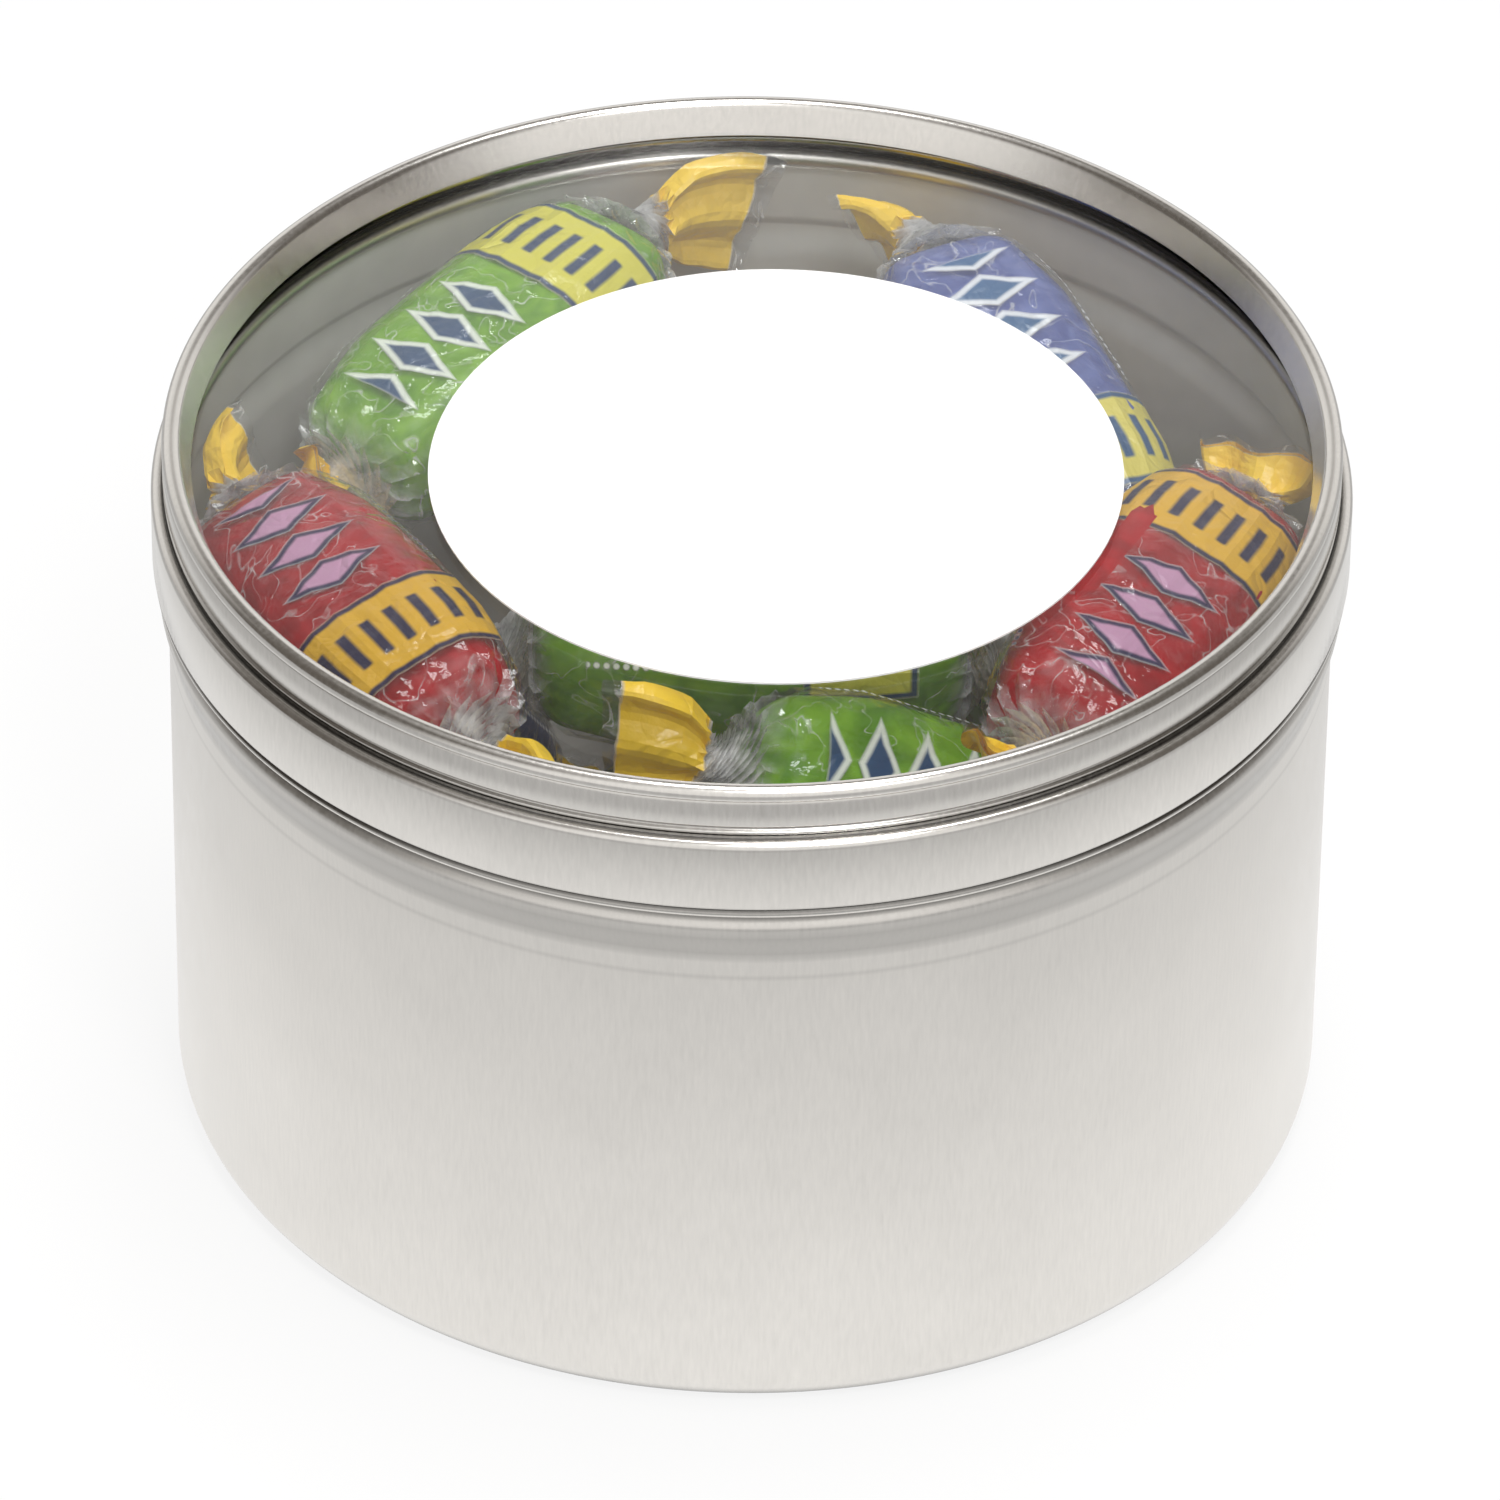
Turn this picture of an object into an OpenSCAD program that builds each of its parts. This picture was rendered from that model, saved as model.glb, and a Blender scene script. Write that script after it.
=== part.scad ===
// A round tinplate tin with a slip lid. The lid is a ring round a clear window, and a blank paper
// label is stuck to the window. The tin is filled with twist-wrapped sweets.
// The origin is the centre of the base where it rests, and +Z is up. Lengths are in millimetres.

/* [Tin] */
// Outer diameter of the lid's skirt, the widest part
lid_d = 67.5; // [67:0.5:72]
// Height from the foot to the top of the lid's rim
total_h = 44; // [43.5:0.5:48]
// Thickness of the tinplate
sheet_t = 0.25; // [0.2:0.01:0.28]
// Radius of the corner between the wall and the base
foot_r = 2.2; // [1.5:0.1:3]
// How far the base panel is pressed in above the foot ring
base_rise = 0.8; // [0.4:0.1:1.2]
// How far the bead under the lid stands out from the wall
bead_out = 0.55; // [0.4:0.05:0.6]

/* [Lid] */
// Height of the skirt's straight wall
skirt_h = 3.9; // [3:0.1:4.2]
// Width of the rim round the window, seen from above
rim_w = 2.3; // [1.8:0.1:2.6]
// Outer radius of the roll along the top of the rim
roll_r = 0.55; // [0.4:0.05:0.6]
// Thickness of the clear window
window_t = 0.38; // [0.2:0.02:0.4]
// Diameter of the paper label
label_d = 39; // [30:0.5:50]
// Thickness of the paper label
label_t = 0.12; // [0.08:0.01:0.2]

/* [Sweets] */
// Length of a hard sweet
sweet_l = 24.5; // [22:0.5:25]
// Width of a hard sweet
sweet_w = 11.5; // [10:0.5:12]
// Thickness of a hard sweet
sweet_t = 9; // [8:0.5:9.5]
// Thickness of the wrapping film and the air in it
film_t = 0.3; // [0.2:0.05:0.35]

/* [Hidden] */
$fn = 96;
lid_r = lid_d / 2;
wall_r = lid_r - 0.85;
neck_r = lid_r - 0.7;
bead_r = wall_r + bead_out;
curl_r = 0.5;
label_x = 1.35;
label_y = -1.4;

// Heights of the lid, from the top down
roll_z = total_h - roll_r;
window_top_z = total_h - 2;
shoulder_z = total_h - 3.67;
skirt_end_z = shoulder_z - skirt_h;
hem_z = skirt_end_z - 0.5;

// Radii of the lid: how far its rim, neck, shoulder and hem stand in from the skirt
rim_in = 0.65;
shoulder_in = 0.47;
hem_in = 0.07;
hem_r = 0.24;
lip_gap = 0.12;
window_r = lid_r - 1.0;
// The neck's folds, from the top down: each pair goes in from the skirt and down from the window
NECK_FOLDS = [
    [[0.67, 0.4], [0.87, 0.63]],
    [[0.87, 0.67], [0.69, 0.86]],
    [[0.69, 0.92], [0.77, 1.12]]];

// Heights of the tin under the lid
mouth_z = total_h - 3.6;
bead_z = hem_z - 1.4;
bead_start_z = bead_z - 2.3;
// The wall flares a little from a crease up to the bead
crease_z = bead_z - 3.6;
flare = 0.08;
mouth_r = neck_r - curl_r;

// Points along an arc from angle a0 to a1
function arc(x, z, r, a0, a1, steps = 8) =
    [for (i = [0:steps]) let (a = a0 + (a1 - a0) * i / steps) [x + r * cos(a), z + r * sin(a)]];

// Points of an S-bend that leaves p and meets q along Z
function s_bend(p, q, steps = 8) =
    [for (i = [0:steps]) let (t = i / steps, e = (1 - cos(180 * t)) / 2)
        [p[0] + (q[0] - p[0]) * e, p[1] + (q[1] - p[1]) * t]];

// Points of an S-bend that leaves p and meets q along the radius
function flat_bend(p, q, steps = 6) =
    [for (i = [0:steps]) let (t = i / steps, e = (1 - cos(180 * t)) / 2)
        [p[0] + (q[0] - p[0]) * t, p[1] + (q[1] - p[1]) * e]];

function unit(v) = v / norm(v);
function left_of(v) = [-v[1], v[0]];

// The normal at point i of an open path, made longer at a corner so that the sheet keeps its thickness
function corner_normal(path, i) =
    let (before = unit(path[max(i, 1)] - path[max(i, 1) - 1]),
         after = unit(path[min(i, len(path) - 2) + 1] - path[min(i, len(path) - 2)]),
         n = unit(left_of(before) + left_of(after)))
    n / max(n * left_of(after), 0.5);

// A strip of sheet metal: the path is one face, and the other lies t to its left
function sheet(path, t) =
    concat(path, [for (i = [len(path) - 1:-1:0]) path[i] + t * corner_normal(path, i)]);

// The drawn tin, from the middle of the base out and up to its curled mouth
function tin_path() = concat(
    [[0, base_rise]],
    flat_bend([wall_r - foot_r - 3.4, base_rise], [wall_r - foot_r - 1.2, 0]),
    arc(wall_r - foot_r, foot_r, foot_r, -90, 0),
    [[wall_r, crease_z]],
    s_bend([wall_r + flare, bead_start_z], [bead_r, bead_z], 12),
    s_bend([bead_r, bead_z + 0.1], [neck_r, bead_z + 1.05], 6),
    arc(mouth_r, mouth_z - curl_r, curl_r, 0, 270, 15));

// A point of the neck, given as far in from the skirt and down from the window
function in_and_down(p) = [lid_r - p[0], window_top_z - p[1]];

// The lid ring, from its lip on the window over the rolled rim and down to the hem
function lid_path() = concat(
    [[lid_r - rim_w, window_top_z + lip_gap]],
    arc(lid_r - rim_in - roll_r, roll_z, roll_r, 160, -15, 10),
    [[lid_r - rim_in - 0.11, roll_z - 0.25], [lid_r - rim_in - 0.02, roll_z - 0.45]],
    [for (fold = NECK_FOLDS) each s_bend(in_and_down(fold[0]), in_and_down(fold[1]), 4)],
    arc(lid_r - shoulder_in, shoulder_z, shoulder_in, 120, 0),
    s_bend([lid_r, skirt_end_z], [lid_r - 0.22, skirt_end_z - 0.25], 4),
    arc(lid_r - hem_in - hem_r, hem_z, hem_r, 30, -120, 8));

module tin_body() {
    color("silver") rotate_extrude() polygon(sheet(tin_path(), sheet_t));
}

module lid_ring() {
    color("lightgray") rotate_extrude() polygon(sheet(lid_path(), -sheet_t));
}

module window() {
    color("lightcyan", 0.4) translate([0, 0, window_top_z - window_t])
        cylinder(h = window_t, r = window_r);
}

module label() {
    color("white") translate([label_x, label_y, window_top_z])
        cylinder(h = label_t, d = label_d);
}

// The film hugs the sweet, winds tight at the neck and opens into a pleated tail
body_l = sweet_l / 2 + 0.4;
body_w = sweet_w / 2 + film_t + 0.1;
body_t = sweet_t / 2 + film_t + 0.1;
tail_l = 10;
tail_w = 3.9;
bend_from = body_l + 0.8;
// Half the stations along a wrapper: distance from the middle, half width, half thickness,
// depth of the pleats, and how far the film is twisted, from 0 to 1.
// The first four cover the sweet, the next two are the twisted neck, and the last two the tail.
STATIONS = [
    [0, body_w, body_t, 0, 0],
    [body_l * 0.54, body_w * 0.97, body_t * 0.97, 0, 0],
    [body_l * 0.83, body_w * 0.82, body_t * 0.84, 0.1, 0],
    [body_l * 0.98, body_w * 0.54, body_t * 0.6, 0.2, 0.1],
    [body_l + 1.1, 1.7, 1.5, 0.2, 0.5],
    [body_l + 2.4, 1.3, 1.2, 0.15, 1],
    [body_l + 5.5, tail_w * 0.8, 0.9, 0.5, 1],
    [bend_from + tail_l, tail_w, 0.7, 0.6, 1]];
SIDES = 10;

// A power that keeps its sign, for sections squarer than an ellipse
function signed_pow(x, p) = sign(x) * pow(abs(x), p);

// A point of a section at distance s, carried along an arc past the neck.
// The bend is its angle over the whole tail, and towards is its direction across the sweet.
function bent(s, y, z, bend, towards, reach) =
    let (over = max(s - bend_from, 0) * reach,
         a = bend * over / (tail_l * reach),
         radius = tail_l * reach / bend * 180 / PI,
         out = y * cos(towards) + z * sin(towards),
         across = z * cos(towards) - y * sin(towards),
         moved = over > 0 ? radius * (1 - cos(a)) + out * cos(a) : out)
    [over > 0 ? bend_from + radius * sin(a) - out * sin(a) : s,
     moved * cos(towards) - across * sin(towards),
     moved * sin(towards) + across * cos(towards)];

// One ring of points across a sweet. The tail is [bend, towards, turn, reach].
function ring(station, end, tail, inset) =
    let (a = max(station[1] - inset, 0.25), b = max(station[2] - inset, 0.25),
         turn = tail[2] * station[4])
    [for (j = [0:SIDES - 1])
        let (t = 360 * j / SIDES,
             y = a * signed_pow(cos(t), 0.8),
             pleat = station[3] * pow(sin(t), 2) * (j % 2 == 0 ? 1 : -1),
             z = b * signed_pow(sin(t), 0.8) + pleat,
             p = bent(station[0], y * cos(turn) - z * sin(turn), y * sin(turn) + z * cos(turn),
                      tail[0], tail[1], tail[3]))
        [end * p[0], p[1], p[2]]];

// All rings of a wrapper from one tail's end to the other's
function rings(tails, inset) = concat(
    [for (i = [len(STATIONS) - 1:-1:1]) ring(STATIONS[i], -1, tails[0], inset)],
    [for (i = [0:len(STATIONS) - 1]) ring(STATIONS[i], 1, tails[1], inset)]);

function flatten(lists) = [for (l = lists) for (item = l) item];

// Triangles between neighbouring rings, whose first point has the number start
function skin(count, start) =
    [for (i = [0:count - 2]) for (j = [0:SIDES - 1])
        let (k = (j + 1) % SIDES, a = start + i * SIDES, b = a + SIDES)
        each [[a + j, b + j, b + k], [a + j, b + k, a + k]]];

function flipped(faces) = [for (f = faces) [f[2], f[1], f[0]]];

// The rim of film that closes the tube at one end, between its outer and its inner ring
function end_rim(outer, inner) =
    [for (j = [0:SIDES - 1]) let (k = (j + 1) % SIDES)
        each [[outer + j, outer + k, inner + k], [outer + j, inner + k, inner + j]]];

// The twisted film: a tube that is open along its whole length, as a rolled sheet is
module film(tails) {
    outer = rings(tails, 0);
    inner = rings(tails, film_t);
    count = len(outer);
    last_ring = (count - 1) * SIDES;
    n = count * SIDES;
    polyhedron(
        points = concat(flatten(outer), flatten(inner)),
        faces = concat(skin(count, 0), flipped(skin(count, n)),
                       end_rim(0, n), flipped(end_rim(last_ring, n + last_ring))),
        convexity = 6);
}

// The hard sweet: a bar with a rounded section that narrows to blunt ends
module hard_sweet() {
    straight = [1, 0, 0, 1];
    half = [[0, 1], [0.55, 0.97], [0.86, 0.78], [1, 0.42]];
    stations = concat([for (i = [3:-1:1]) [-half[i][0], half[i][1]]], half);
    count = len(stations);
    outer = [for (s = stations)
        let (station = [s[0] * sweet_l / 2, s[1] * sweet_w / 2, s[1] * sweet_t / 2, 0, 0])
        ring(station, 1, straight, 0)];
    polyhedron(
        points = flatten(outer),
        faces = concat(skin(count, 0),
                       [[for (j = [0:SIDES - 1]) j]],
                       [[for (j = [SIDES - 1:-1:0]) (count - 1) * SIDES + j]]),
        convexity = 2);
}

// Each sweet: colour, centre, [roll, pitch, turn], and its two tails' [bend, towards, turn, reach].
// A tail bends from 1 degree up, towards 0 for the sweet's left, 90 for up, 180 for its right.
// The top layer lies as seen through the window.
TOP = [
    ["limegreen", [-15.2, 17.3, 36], [0, -6, 51], [[110, 150, 60, 0.4], [54, 210, 90, 0.85]]],
    ["slateblue", [15.6, 13.8, 34.9], [0, 15, -63], [[70, 215, 120, 0.5], [80, 270, 0, 0.4]]],
    ["crimson", [22, -8.3, 36.2], [20, 0, 63], [[80, 90, 0, 0.5], [95, 60, -30, 0.42]]],
    ["limegreen", [0, -6.2, 33.2], [0, 0, 0], [[110, 270, 0, 0.4], [110, 270, 0, 0.4]]],
    ["crimson", [-22.1, -8.8, 36.1], [16, -2, -58.5], [[85, 0, 90, 0.6], [40, 160, 20, 0.7]]],
    ["limegreen", [10.2, -17.5, 29.6], [30, 28, 12], [[30, 270, 110, 0.7], [110, 90, 0, 0.4]]]];

// The sweets under them lean round the tin and in its middle, one tail up and one down:
// angle round the tin, distance from its middle, height, lean, colour.
LEANING = [
    [30, 22, 14.6, 50, "limegreen"],
    [90, 22, 14.6, 50, "crimson"],
    [150, 22, 14.6, 50, "slateblue"],
    [207, 22, 14.6, 50, "limegreen"],
    [270, 22, 10.5, 32, "slateblue"],
    [330, 22, 14.6, 50, "crimson"],
    [20, 7, 14.6, 50, "crimson"],
    [200, 7, 14.6, 50, "limegreen"]];
UP_AND_DOWN = [[80, 90, 0, 0.7], [80, 270, 0, 0.7]];
LOWER = [for (s = LEANING)
    [s[4], [s[1] * cos(s[0]), s[1] * sin(s[0]), s[2]], [0, -s[3], s[0] + 90], UP_AND_DOWN]];

SWEETS = concat(TOP, LOWER);

module lay(i) {
    translate(SWEETS[i][1]) rotate(SWEETS[i][2]) children();
}

module sweet(i) {
    color(SWEETS[i][0]) lay(i) hard_sweet();
}

module sweet_wrapper(i) {
    color("aliceblue", 0.5) lay(i) film(SWEETS[i][3]);
}

tin_body();
lid_ring();
window();
label();
for (i = [0:len(SWEETS) - 1]) {
    sweet(i);
    sweet_wrapper(i);
}
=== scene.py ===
# %% [markdown]
# # A window lid tin full of wrapped sweets
#
# A drawn tinplate tin has a slip lid, and the lid is a formed ring round a clear plastic window.
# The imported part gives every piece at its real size. This file gives them their looks, and makes
# again, finer, the pieces whose surface has to catch the light: the sheet metal, the hard sweets
# and their twisted wrappers. Lengths below are metres, and `mm` turns millimetres into metres.

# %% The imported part
import math

import bpy
import numpy as np
from mathutils import Matrix, Vector


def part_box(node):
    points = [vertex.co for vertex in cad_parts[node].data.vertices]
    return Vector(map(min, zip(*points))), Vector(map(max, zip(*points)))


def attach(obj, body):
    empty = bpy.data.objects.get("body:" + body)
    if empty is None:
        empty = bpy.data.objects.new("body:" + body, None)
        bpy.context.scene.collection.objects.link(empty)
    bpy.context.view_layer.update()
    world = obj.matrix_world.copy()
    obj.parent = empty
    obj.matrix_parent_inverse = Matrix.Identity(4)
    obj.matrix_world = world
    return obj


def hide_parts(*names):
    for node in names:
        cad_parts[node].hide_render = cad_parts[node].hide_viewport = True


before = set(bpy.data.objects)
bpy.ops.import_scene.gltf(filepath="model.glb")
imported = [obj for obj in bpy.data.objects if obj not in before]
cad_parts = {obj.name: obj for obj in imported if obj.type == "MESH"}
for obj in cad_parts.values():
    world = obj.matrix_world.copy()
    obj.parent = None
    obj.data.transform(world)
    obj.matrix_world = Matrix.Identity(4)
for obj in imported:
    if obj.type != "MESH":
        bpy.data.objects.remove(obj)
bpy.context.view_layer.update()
mm = 0.001
print("nodes in the part:", len(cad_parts))

# %% [markdown]
# ## The camera
#
# A long lens far from the object keeps the tin's sides almost parallel. The picture looks down
# at 37.7 degrees, and the horizon leans by a little over half a degree.

# %% Camera
IMAGE_SIDE = 1500
LENS_IN_PIXELS = 12518
ELEVATION = math.radians(37.69)
LEAN = math.radians(0.66)
DISTANCE = 715 * mm
AIM = Vector((0, 0, 21.3 * mm))
CENTRE_OFFSET_IN_PIXELS = 1.2

camera = bpy.data.objects.new("camera", bpy.data.cameras.new("camera"))
bpy.context.scene.collection.objects.link(camera)
camera.data.sensor_width = 36
camera.data.lens = LENS_IN_PIXELS / IMAGE_SIDE * camera.data.sensor_width
camera.data.shift_x = CENTRE_OFFSET_IN_PIXELS / IMAGE_SIDE
back = Vector((0, -math.cos(ELEVATION), math.sin(ELEVATION)))
camera.matrix_world = (
    Matrix.Translation(AIM + back * DISTANCE)
    @ Matrix.Rotation(math.pi / 2 - ELEVATION, 4, "X")
    @ Matrix.Rotation(LEAN, 4, "Z")
)
bpy.context.scene.camera = camera
bpy.context.scene.view_settings.view_transform = "Standard"
print("lens:", round(camera.data.lens, 1), "mm")

# %% [markdown]
# ## Two helpers for materials
#
# Colours are written as the sRGB hex values that a picture editor shows. The renderer works in
# linear light, so one function converts them. Another adds a node with its settings and links.

# %% Colour and node helpers


def linear(code):
    """The linear colour of an sRGB hex code such as "d0cdc8"."""
    parts = [int(code[i : i + 2], 16) / 255 for i in (0, 2, 4)]
    return tuple(c / 12.92 if c <= 0.04045 else ((c + 0.055) / 1.055) ** 2.4 for c in parts) + (1,)


def add(tree, kind, settings=None, **inputs):
    """Adds a node. Settings are its properties, and inputs are values or other nodes' sockets."""
    node = tree.nodes.new("ShaderNode" + kind)
    for key, value in (settings or {}).items():
        setattr(node, key, value)
    for key, value in inputs.items():
        name = key.replace("_", " ")
        socket = node.inputs[int(key[1:])] if key[0] == "i" and key[1:].isdigit() else node.inputs[name]
        if isinstance(value, bpy.types.NodeSocket):
            tree.links.new(value, socket)
        else:
            socket.default_value = value
    return node


def new_material(name):
    """An empty material, its node tree, and the tree's output node."""
    material = bpy.data.materials.new(name)
    material.use_nodes = True
    material.node_tree.nodes.clear()
    return material, material.node_tree, material.node_tree.nodes.new("ShaderNodeOutputMaterial")


print("white is", linear("ffffff"))

# %% [markdown]
# ## The studio
#
# The tin stands on a plain white floor under soft light. The floor shows near white to the eye
# and in the metal, and part of its brightness comes from real light, so the tin's shadow stays.
# In the metal the floor also glows brighter close to the tin and dimmer further out: a painted
# pool of light that only reflections see.
# The sky is light low down and dim above that, because bare tinplate only looks like metal when
# it has both light and dark to mirror. Two soft lamps hang overhead.

# %% Floor
bpy.ops.object.select_all(action="DESELECT")
bpy.ops.mesh.primitive_plane_add(size=8)
floor = bpy.context.object
floor.name = "floor"

floor_white, tree, out = new_material("matt_white_paper_sweep")
path = add(tree, "LightPath")
seen = add(
    tree, "Math", {"operation": "MAXIMUM"},
    i0=path.outputs["Is Camera Ray"], i1=path.outputs["Is Glossy Ray"],
)
seen = add(
    tree, "Math", {"operation": "MAXIMUM"}, i0=seen.outputs[0], i1=path.outputs["Is Transmission Ray"],
)
kept = add(tree, "Math", {"operation": "MULTIPLY"}, i0=seen.outputs[0], i1=0.86)
lit = add(tree, "BsdfDiffuse", Color=linear("f4f4f4"))
away = add(tree, "VectorMath", {"operation": "LENGTH"}, i0=add(tree, "TexCoord").outputs["Object"])
# Painted light: in reflections the floor glows brighter within a few centimetres of the tin and dimmer beyond.
painted_glow_near_tin = add(tree, "MapRange", Value=away.outputs["Value"], From_Min=0.035, From_Max=0.1, To_Min=1.22, To_Max=0.5)
strength = add(tree, "Mix", i0=path.outputs["Is Glossy Ray"], i2=1.0, i3=painted_glow_near_tin.outputs[0])
shown = add(tree, "Emission", Color=(1, 1, 1, 1), Strength=strength.outputs[0])
mix = add(tree, "MixShader", i0=kept.outputs[0], i1=lit.outputs[0], i2=shown.outputs[0])
tree.links.new(mix.outputs[0], out.inputs["Surface"])
floor.data.materials.append(floor_white)
print("floor:", tuple(floor.dimensions))

# %% Sky
sky = bpy.data.worlds.new("studio_sky")
bpy.context.scene.world = sky
sky.use_nodes = True
tree = sky.node_tree
tree.nodes.clear()
direction = add(tree, "TexCoord")
height = add(tree, "SeparateXYZ", Vector=direction.outputs["Generated"])
low_band = add(tree, "MapRange", Value=height.outputs["Z"], From_Min=0.592, From_Max=0.606, To_Min=1.0, To_Max=0.05)
behind = add(tree, "MapRange", Value=height.outputs["Y"], From_Min=0.25, From_Max=0.7, To_Min=0.0, To_Max=0.85)
in_front = add(tree, "MapRange", Value=height.outputs["Y"], From_Min=-0.3, From_Max=-0.7, To_Min=0.0, To_Max=0.9)
overhead = add(tree, "MapRange", Value=height.outputs["Z"], From_Min=0.8, From_Max=0.97, To_Min=0.0, To_Max=0.4)
panel = add(tree, "Math", {"operation": "MULTIPLY"}, i0=behind.outputs[0], i1=low_band.outputs[0])
light = add(tree, "Math", {"operation": "ADD"}, i0=panel.outputs[0], i1=in_front.outputs[0])
light = add(tree, "Math", {"operation": "ADD"}, i0=light.outputs[0], i1=overhead.outputs[0])
level = add(tree, "VectorMath", {"operation": "ADD"}, i0=(0.14, 0.125, 0.11), i1=light.outputs[0])
path = add(tree, "LightPath")
paint = add(
    tree, "Mix", {"data_type": "RGBA"},
    i0=path.outputs["Is Camera Ray"], i6=level.outputs[0], i7=(1, 1, 1, 1),
)
glow = add(tree, "Background", Color=paint.outputs[2], Strength=1.0)
out = tree.nodes.new("ShaderNodeOutputWorld")
tree.links.new(glow.outputs[0], out.inputs["Surface"])
print("sky nodes:", len(tree.nodes))

# %% Lamps


def soft_lamp(name, place, aim, size, watts):
    """A square soft lamp at a place, turned to its aim."""
    data = bpy.data.lights.new(name, "AREA")
    data.shape = "SQUARE"
    data.size = size
    data.energy = watts
    lamp = bpy.data.objects.new(name, data)
    lamp.location = place
    lamp.rotation_euler = (Vector(aim) - Vector(place)).to_track_quat("-Z", "Y").to_euler()
    bpy.context.scene.collection.objects.link(lamp)
    return lamp


soft_lamp("lamp_above", (0.08, 0.12, 0.95), (0, 0, 0), 0.35, 4.4)
soft_lamp("lamp_front", (0.2, -0.6, 0.95), (0, 0, 0.03), 0.22, 3.8)

# %% [markdown]
# ## Tinplate
#
# Tinplate is thin steel with a coat of tin. It is rolled, then drawn in a press, and its satin
# grain comes from the rolls. To the eye it is a light warm grey that mirrors softly, with fine
# streaks and a few faint scuffs. It could be one roughness value, but then it reads as paint, so
# a streaked noise drives the roughness and a shallow bump. Shade is painted into the colour as
# well: darker in tight seams, and in bands under the tin's bead and round the lid's hem.

# %% Satin tinplate


def satin_tinplate(name, colour, grain_mm, streak, rough, seam_mm, painted_shade_bands=()):
    """Rolled tinplate: grain_mm is the width of a grain, drawn wide enough to show here.

    Painted shade darkens the colour in seams closer than seam_mm. The last argument lists bands
    of painted shade: from and to which height, how soft the edges are, and how much brightness is left.
    """
    material, tree, out = new_material(name)
    place = add(tree, "TexCoord").outputs["Object"]
    stretched = add(tree, "Mapping", Vector=place, Rotation=(0.35, 0.2, 0), Scale=(1, 1, streak))
    grain = add(tree, "TexNoise", Vector=stretched.outputs[0], Scale=1 / (grain_mm * mm), Detail=3)
    cloud = add(tree, "TexNoise", Vector=place, Scale=1 / (9 * mm), Detail=4, Roughness=0.6)
    speck = add(tree, "TexNoise", Vector=place, Scale=1 / (0.5 * mm), Detail=1)
    # Painted shade: ambient occlusion darkens the colour in seams and grooves tighter than seam_mm.
    seam = add(tree, "AmbientOcclusion", {"samples": 8}, Distance=seam_mm * mm).outputs["AO"]
    tone = add(tree, "MapRange", Value=seam, From_Min=0.3, From_Max=0.8, To_Min=0.1, To_Max=0.96)
    for noise, share in ((cloud, 0.12), (grain, 0.2)):
        off = add(tree, "Math", {"operation": "SUBTRACT"}, i0=noise.outputs["Fac"], i1=0.5)
        tone = add(tree, "Math", {"operation": "MULTIPLY_ADD"}, i0=off.outputs[0], i1=share, i2=tone.outputs[0])
    height = add(tree, "SeparateXYZ", Vector=place).outputs["Z"]
    # Painted shade: each band darkens the colour between two heights, in place of the shade under beads and in
    # creases, notches and gaps.
    for low, high, soft, left in painted_shade_bands:
        middle, half = (low + high) / 2 * mm, (high - low) / 2
        off = add(tree, "Math", {"operation": "SUBTRACT"}, i0=height, i1=middle)
        off = add(tree, "Math", {"operation": "ABSOLUTE"}, i0=off.outputs[0])
        inside, outside = (half - soft) * mm, (half + soft) * mm
        painted_band_shade = add(tree, "MapRange", Value=off.outputs[0], From_Min=inside, From_Max=outside, To_Min=left, To_Max=1.0)
        tone = add(tree, "Math", {"operation": "MULTIPLY"}, i0=tone.outputs[0], i1=painted_band_shade.outputs[0])
    base = add(tree, "VectorMath", {"operation": "SCALE"}, i0=linear(colour)[:3], Scale=tone.outputs[0])
    roughness = add(
        tree, "MapRange", Value=grain.outputs["Fac"], From_Min=0.3, From_Max=0.7, To_Min=rough[0], To_Max=rough[1],
    )
    relief = add(tree, "Math", {"operation": "MULTIPLY_ADD"}, i0=speck.outputs["Fac"], i1=0.5, i2=grain.outputs["Fac"])
    bump = add(tree, "Bump", Height=relief.outputs[0], Distance=0.0015 * mm, Strength=0.4)
    metal = add(
        tree, "BsdfPrincipled", Base_Color=base.outputs[0], Roughness=roughness.outputs[0],
        Metallic=1.0, Normal=bump.outputs[0],
    )
    tree.links.new(metal.outputs[0], out.inputs["Surface"])
    return material


def lacquered_tinplate(name, colour):
    """The inside of the tin: a thin dull lacquer over the tinplate, which scatters some light."""
    material, tree, out = new_material(name)
    place = add(tree, "TexCoord").outputs["Object"]
    cloud = add(tree, "TexNoise", Vector=place, Scale=1 / (4 * mm), Detail=4, Roughness=0.6)
    tone = add(tree, "MapRange", Value=cloud.outputs["Fac"], From_Min=0.3, From_Max=0.7, To_Min=0.92, To_Max=1.04)
    base = add(tree, "VectorMath", {"operation": "SCALE"}, i0=linear(colour)[:3], Scale=tone.outputs[0])
    bump = add(tree, "Bump", Height=cloud.outputs["Fac"], Distance=0.02 * mm, Strength=0.4)
    lacquer = add(
        tree, "BsdfPrincipled", Base_Color=base.outputs[0], Roughness=0.42, Metallic=0.2, Normal=bump.outputs[0],
    )
    tree.links.new(lacquer.outputs[0], out.inputs["Surface"])
    return material


# The bands are painted shade: under the tin's bead, along the crease at its foot, just under the lid's hem, and in the
# notch where the lid's skirt turns into its hem.
tin_metal = satin_tinplate(
    "satin_rolled_tinplate_drawn", "dbd8d3", 0.22, 0.15, (0.28, 0.38), 1.8,
    painted_shade_bands=((32.4, 34.4, 0.35, 0.62), (30.85, 31.1, 0.12, 0.88), (35.2, 35.5, 0.1, 0.5)),
)
lid_metal = satin_tinplate("satin_rolled_tinplate_pressed", "dfdcd7", 0.22, 0.2, (0.2, 0.26), 0.7, painted_shade_bands=((36.0, 36.4, 0.1, 0.4),))
tin_inside = lacquered_tinplate("clear_lacquer_over_tinplate", "dddbd6")
print("metals:", tin_metal.name, lid_metal.name, tin_inside.name)

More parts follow.
